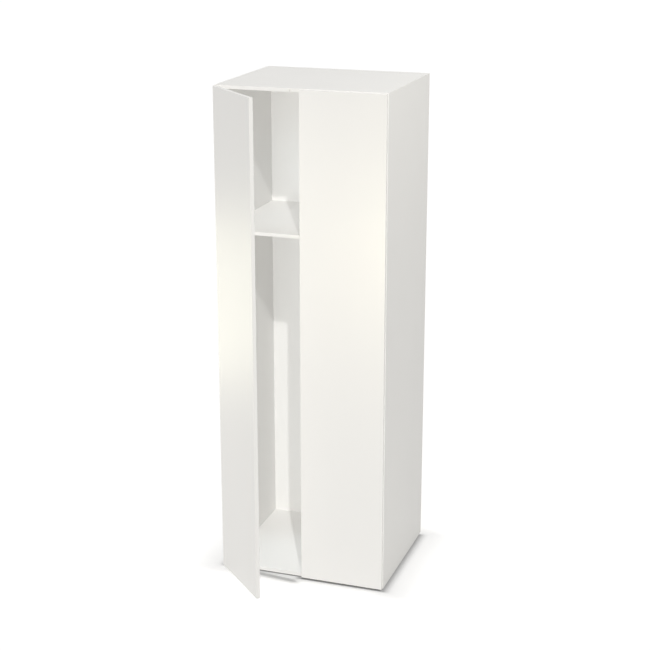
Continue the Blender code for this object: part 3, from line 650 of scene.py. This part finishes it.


# the floor stays white, apart from painted shade under and close round the carcass, worked out from the
# carcass's boxes and not cast by any lamp
def paintFloorShade(tree, place):
    look = paintedFloorShade
    carcass = (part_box("left_side_panel")[0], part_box("right_side_panel")[1])
    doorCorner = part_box("right_door")[0]
    closed = (Vector((doorCorner.x + look["underStart"], doorCorner.y, 0.0)), carcass[1])
    ground = (Vector((carcass[0].x, doorCorner.y, 0.0)), carcass[1])

    def past(box):
        middle = (box[0] + box[1]) / 2
        away = addNode(tree, "ShaderNodeVectorMath", {0: place, 1: middle}, operation="SUBTRACT").outputs[0]
        away = addNode(tree, "ShaderNodeVectorMath", {0: away}, operation="ABSOLUTE").outputs[0]
        parts = addNode(tree, "ShaderNodeSeparateXYZ", {0: away}).outputs
        side = sums(tree, "SUBTRACT", parts["X"], (box[1].x - box[0].x) / 2)
        front = sums(tree, "SUBTRACT", parts["Y"], (box[1].y - box[0].y) / 2)
        return side, front

    def reached(side, front, sideReach, frontReach):
        # 0 on the box, 1 where the ellipse round it ends
        sideShare = sums(tree, "MAXIMUM", sums(tree, "DIVIDE", side, sideReach), 0.0)
        frontShare = sums(tree, "MAXIMUM", sums(tree, "DIVIDE", front, frontReach), 0.0)
        frontSquare = sums(tree, "MULTIPLY", frontShare, frontShare)
        return sums(tree, "SQRT", sums(tree, "MULTIPLY_ADD", sideShare, sideShare, frontSquare))

    def fade(value, start, end, low=0.0, high=1.0):
        values = {"Value": value, "From Min": start, "From Max": end, "To Min": low, "To Max": high}
        return addNode(tree, "ShaderNodeMapRange", values, interpolation_type="SMOOTHSTEP").outputs[0]

    def nearest(make):
        return sums(tree, "MINIMUM", make(*past(carcass)), make(*past(closed)))

    under = nearest(lambda side, front: sums(tree, "MAXIMUM", side, front))
    under = fade(under, look["underStart"], look["underEnd"], look["underLevel"])
    near = nearest(lambda side, front: reached(
        side, sums(tree, "ADD", front, look["nearInset"]), look["nearSide"], look["nearFront"]))
    near = sums(tree, "MAXIMUM", sums(tree, "SUBTRACT", 1.0, near), 0.0)
    near = sums(tree, "MULTIPLY", sums(tree, "POWER", near, look["nearPower"]), look["nearDepth"])
    shade = sums(tree, "MULTIPLY", under, sums(tree, "SUBTRACT", 1.0, near))
    # painted shadow streak: a soft dark line on the floor in front of the open half, fixed in place whatever
    # the doors do
    parts = addNode(tree, "ShaderNodeSeparateXYZ", {0: place}).outputs
    startX, startY = look["streakPlace"]
    line = sums(tree, "MULTIPLY_ADD", sums(tree, "SUBTRACT", parts["X"], startX), look["streakSlope"], startY)
    off = sums(tree, "ABSOLUTE", sums(tree, "SUBTRACT", parts["Y"], line))
    streak = fade(off, 0.0, look["streakReach"], look["streakDepth"], 0.0)
    ending = fade(parts["X"], look["streakFull"], look["streakGone"], 1.0, 0.0)
    starting = fade(parts["X"], carcass[0].x, carcass[0].x + look["streakReach"])
    streak = sums(tree, "MULTIPLY", sums(tree, "MULTIPLY", streak, ending), starting)
    shade = sums(tree, "MULTIPLY", shade, sums(tree, "SUBTRACT", 1.0, streak))
    # halo: a faint, wide painted shade round the carcass, taken off the floor's glow
    halo = reached(*past(ground), look["haloSide"], look["haloFront"])
    return shade, fade(halo, 0.0, 1.0, 1.0 - look["haloDepth"])


def makeFloor():
    bpy.ops.object.select_all(action="DESELECT")
    bpy.ops.mesh.primitive_plane_add(size=2 * studio["floorHalf"], location=(0, 0, -studio["floorDrop"]))
    floor = bpy.context.active_object
    floor.name = "studioFloor"
    material = bpy.data.materials.new("studioFloor")
    material.use_nodes = True
    tree = material.node_tree
    tree.nodes.remove(tree.nodes["Principled BSDF"])
    place = addNode(tree, "ShaderNodeTexCoord").outputs["Object"]
    shade, halo = paintFloorShade(tree, place)
    # the painted shade darkens the floor's paint, and with the painted halo it also darkens the floor's glow
    grey = sums(tree, "MULTIPLY", shade, studio["floorPaint"])
    paint = addNode(tree, "ShaderNodeCombineColor", {0: grey, 1: grey, 2: grey}).outputs[0]
    glowLevel = sums(tree, "MULTIPLY", sums(tree, "MULTIPLY", shade, halo), studio["floorGlow"])
    bounce = studio["floorBounce"]
    shown = addNode(tree, "ShaderNodeBsdfDiffuse", {"Color": paint})
    glow = addNode(tree, "ShaderNodeEmission", {"Strength": glowLevel})
    lit = addNode(tree, "ShaderNodeAddShader", {0: shown.outputs[0], 1: glow.outputs[0]})
    plain = addNode(tree, "ShaderNodeBsdfDiffuse", {"Color": (bounce, bounce, bounce, 1.0)})
    mix = addNode(tree, "ShaderNodeMixShader", {0: shownRays(tree), 1: plain.outputs[0], 2: lit.outputs[0]})
    tree.links.new(mix.outputs[0], tree.nodes["Material Output"].inputs["Surface"])
    material.cycles.emission_sampling = "NONE"
    floor.data.materials.append(material)
    return floor


def makeWorld():
    world = bpy.data.worlds.new("studioWorld")
    bpy.context.scene.world = world
    world.use_nodes = True
    tree = world.node_tree
    dim = tree.nodes["Background"]
    dim.inputs["Color"].default_value = (*studio["light"], 1.0)
    dim.inputs["Strength"].default_value = studio["ambient"]
    white = addNode(tree, "ShaderNodeBackground", {"Color": (1.0, 1.0, 1.0, 1.0), "Strength": 1.0})
    mix = addNode(tree, "ShaderNodeMixShader", {0: shownRays(tree), 1: dim.outputs[0], 2: white.outputs[0]})
    tree.links.new(mix.outputs[0], tree.nodes["World Output"].inputs["Surface"])


floor = makeFloor()
makeWorld()
# every lamp leaves out the floor, which the world and its own glow light
lampsReach = bpy.data.collections.new("lampsLeaveOut")
lampsReach.objects.link(floor)
lampsReach.collection_objects[0].light_linking.link_state = "EXCLUDE"


def addLamp(name, kind, place, travel, power, colour=studio["light"]):
    lamp = bpy.data.objects.new(name, bpy.data.lights.new(name, kind))
    bpy.context.scene.collection.objects.link(lamp)
    lamp.location = place
    lamp.rotation_euler = Vector(travel).to_track_quat("-Z", "Y").to_euler()
    lamp.data.energy = power
    lamp.data.color = colour
    lamp.visible_camera = False
    lamp.light_linking.receiver_collection = lampsReach
    return lamp


def aimLamp(look, kind, colour):
    travel = Vector(look["aim"]) - Vector(look["place"])
    return addLamp(look["name"], kind, look["place"], travel, look["power"], colour)


# the key comes from the front right and above
keyLamp = {"place": (3.0, -6.0, 6.0), "travel": (-0.463, 1.0, -0.947), "power": 0.975, "angle": 0.9}
key = addLamp("keySun", "SUN", keyLamp["place"], keyLamp["travel"], keyLamp["power"])
key.data.angle = math.radians(keyLamp["angle"])

# even fill from each side, without shadows, so the inside stays light
fillPlace = (0.0, 0.0, 4.0)
fillLevels = {"fillFront": ((0, 1, 0), 0.262), "fillTop": ((0, 0, -1), 0.12), "fillLeft": ((1, 0, 0), 0.075),
              "fillBack": ((0, -1, 0), 0.28), "fillBelow": ((0, 0, 1), 0.29)}
for name, (travel, level) in fillLevels.items():
    fill = addLamp(name, "SUN", fillPlace, travel, level * math.pi)
    fill.data.angle = 0.0
    fill.data.use_shadow = False
    fill.visible_glossy = False

# soft lamps: one high over the right side, one low beside it, one low by the open door
softLight = (1.0, 0.975, 0.90)
softLamps = [
    {"name": "sideSoft", "place": (2.3, -0.3, 3.2), "aim": (0.4, 0.1, 2.1), "size": 1.2, "power": 15.0},
    {"name": "sideLow", "place": (1.6, -0.22, 0.28), "aim": (0.4, -0.22, 0.28), "size": 0.6, "power": 1.5},
    {"name": "doorLow", "place": (-1.35, -1.1, 0.72), "aim": (-0.35, -0.35, 0.72), "size": 0.6, "power": 1.6},
]
for soft in softLamps:
    lamp = aimLamp(soft, "AREA", softLight)
    lamp.data.size = soft["size"]
    lamp.visible_glossy = False

# small spots inside, over the shelf and over the front of the bottom; cool, against the warm bounce
insideLight = (0.82, 0.93, 1.0)
spotRadius = 0.05
insideSpots = [
    {"name": "overShelf", "place": (-0.16, 0.10, 2.25), "aim": (-0.16, 0.12, 1.70),
     "cone": 62.0, "power": 0.86},
    {"name": "overBottom", "place": (-0.16, -0.02, 0.95), "aim": (-0.16, -0.06, 0.05),
     "cone": 45.0, "power": 5.7},
]
for spot in insideSpots:
    lamp = aimLamp(spot, "SPOT", insideLight)
    lamp.data.spot_size = math.radians(spot["cone"])
    lamp.data.spot_blend = 1.0
    lamp.data.shadow_soft_size = spotRadius
    lamp.visible_glossy = False

# two narrow beams from the front of the inside onto the back board
beamSpread = 60.0
insideBeams = [
    {"name": "onBackUp", "place": (-0.05, -0.15, 1.86), "size": (0.5, 0.3), "power": 0.125},
    {"name": "onBackLow", "place": (-0.05, -0.15, 0.85), "size": (0.5, 1.4), "power": 0.21},
]
for beam in insideBeams:
    lamp = addLamp(beam["name"], "AREA", beam["place"], (0.0, 1.0, 0.0), beam["power"], insideLight)
    lamp.data.shape = "RECTANGLE"
    lamp.data.size, lamp.data.size_y = beam["size"]
    lamp.data.spread = math.radians(beamSpread)
    lamp.visible_glossy = False

# two warm panels that only show as soft gloss
warmPanels = [
    {"name": "warmPanelRight", "place": (-0.035, -4.0, 0.739), "aim": (0.386, -0.204, 1.66),
     "size": (1.6, 0.393), "power": 81.0, "colour": (1.0, 0.92, 0.62)},
    {"name": "warmPanelLeft", "place": (-2.776, 0.654, 0.62), "aim": (-0.39, -0.20, 1.40),
     "size": (1.2, 1.043), "power": 10.0, "colour": (1.0, 0.98, 0.735)},
]
for panel in warmPanels:
    lamp = aimLamp(panel, "AREA", panel["colour"])
    lamp.data.shape = "RECTANGLE"
    lamp.data.size, lamp.data.size_y = panel["size"]
    lamp.visible_diffuse = False
print("floor and lamps set")

# angles in degrees; the focal length is in pixels of the square frame
view = {"place": (2.21016, -6.27449, 3.2751), "yaw": -18.983, "pitch": 17.246, "roll": -0.036,
        "focalPixels": 1501.0, "imageWidth": 650.0, "sensor": 36.0, "reach": 500.0}


def makeCamera():
    camera = bpy.data.objects.new("camera", bpy.data.cameras.new("camera"))
    bpy.context.scene.collection.objects.link(camera)
    camera.data.sensor_fit = "HORIZONTAL"
    camera.data.sensor_width = view["sensor"]
    camera.data.lens = view["sensor"] * view["focalPixels"] / view["imageWidth"]
    camera.data.clip_end = view["reach"]
    turn = Matrix.Rotation(math.radians(-view["yaw"]), 3, "Z")
    turn = turn @ Matrix.Rotation(math.radians(90.0 - view["pitch"]), 3, "X")
    turn = turn @ Matrix.Rotation(math.radians(view["roll"]), 3, "Z")
    camera.location = view["place"]
    camera.rotation_euler = turn.to_euler()
    bpy.context.scene.camera = camera


makeCamera()
bpy.context.scene.view_settings.view_transform = "Standard"
print("camera set")
